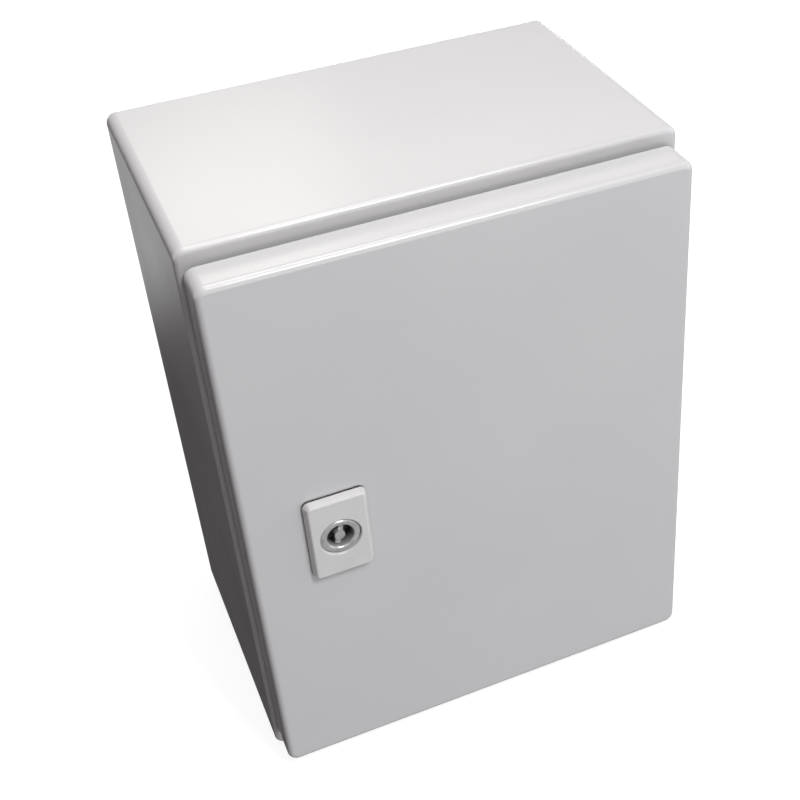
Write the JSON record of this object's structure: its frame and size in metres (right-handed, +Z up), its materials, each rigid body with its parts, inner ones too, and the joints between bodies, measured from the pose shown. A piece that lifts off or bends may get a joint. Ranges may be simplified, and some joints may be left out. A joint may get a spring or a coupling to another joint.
{
  "type": "electrical enclosure",
  "caption": "Wall-mounted sheet-steel electrical enclosure with a hinged door, quarter-turn key lock, sealed rim, mounting plate and gland plate.",
  "frame": {"origin": "middle of the rear outer face, which is the middle of the four wall fixing holes", "axes": "+X to the right as seen from the front, +Y back to the wall, +Z up"},
  "size_m": [0.3, 0.216, 0.4],
  "materials": {
    "powder_coat": "light grey powder coat, fine texture, low sheen",
    "galvanised_sheet": "galvanised sheet with a faint spangle",
    "zinc_steel": "bright zinc plating",
    "hinge_metal": "satin die-cast zinc",
    "pin_steel": "ground steel",
    "foam_seal": "closed-cell foam",
    "lock_plate_grey": "light grey coated casting, smooth",
    "black_rubber": "matt moulded rubber",
    "cast_zinc": "satin die-cast zinc with polished edges"
  },
  "bodies": {
    "cabinet": {"enclosure_body": "powder_coat", "mounting_plate": "galvanised_sheet", "plate_studs": "zinc_steel", "plate_washers": "zinc_steel", "plate_nuts": "zinc_steel", "gland_gasket": "foam_seal", "gland_plate": "powder_coat", "gland_studs": "zinc_steel", "gland_washers": "zinc_steel", "gland_nuts": "zinc_steel", "earth_stud": "zinc_steel", "earth_washer": "zinc_steel", "earth_nut": "zinc_steel", "upper_hinge_bracket": "hinge_metal", "lower_hinge_bracket": "hinge_metal", "hinge_screws": "zinc_steel", "upper_hinge_pin": "pin_steel", "lower_hinge_pin": "pin_steel"},
    "door": {"door_panel": "powder_coat", "door_seal": "foam_seal", "upper_hinge_leaf": "hinge_metal", "lower_hinge_leaf": "hinge_metal", "leaf_studs": "zinc_steel", "leaf_nuts": "zinc_steel", "door_earth_stud": "zinc_steel", "door_earth_washer": "zinc_steel", "door_earth_nut": "zinc_steel", "lock_housing": "lock_plate_grey", "lock_seal": "black_rubber", "lock_nut": "zinc_steel"},
    "lock": {"lock_insert": "cast_zinc", "lock_cam": "zinc_steel", "cam_washer": "zinc_steel", "cam_screw": "zinc_steel"}
  },
  "joints": [
    {"name": "door_swing", "type": "hinge", "parent": "cabinet", "child": "door", "pos_m": [0.14, -0.1985, 0], "axis": [0, 0, 1], "range_deg": [0, 130]},
    {"name": "lock_turn", "type": "hinge", "parent": "door", "child": "lock", "pos_m": [-0.091, -0.2, 0], "axis": [0, 1, 0], "range_deg": [0, 90]}
  ]
}
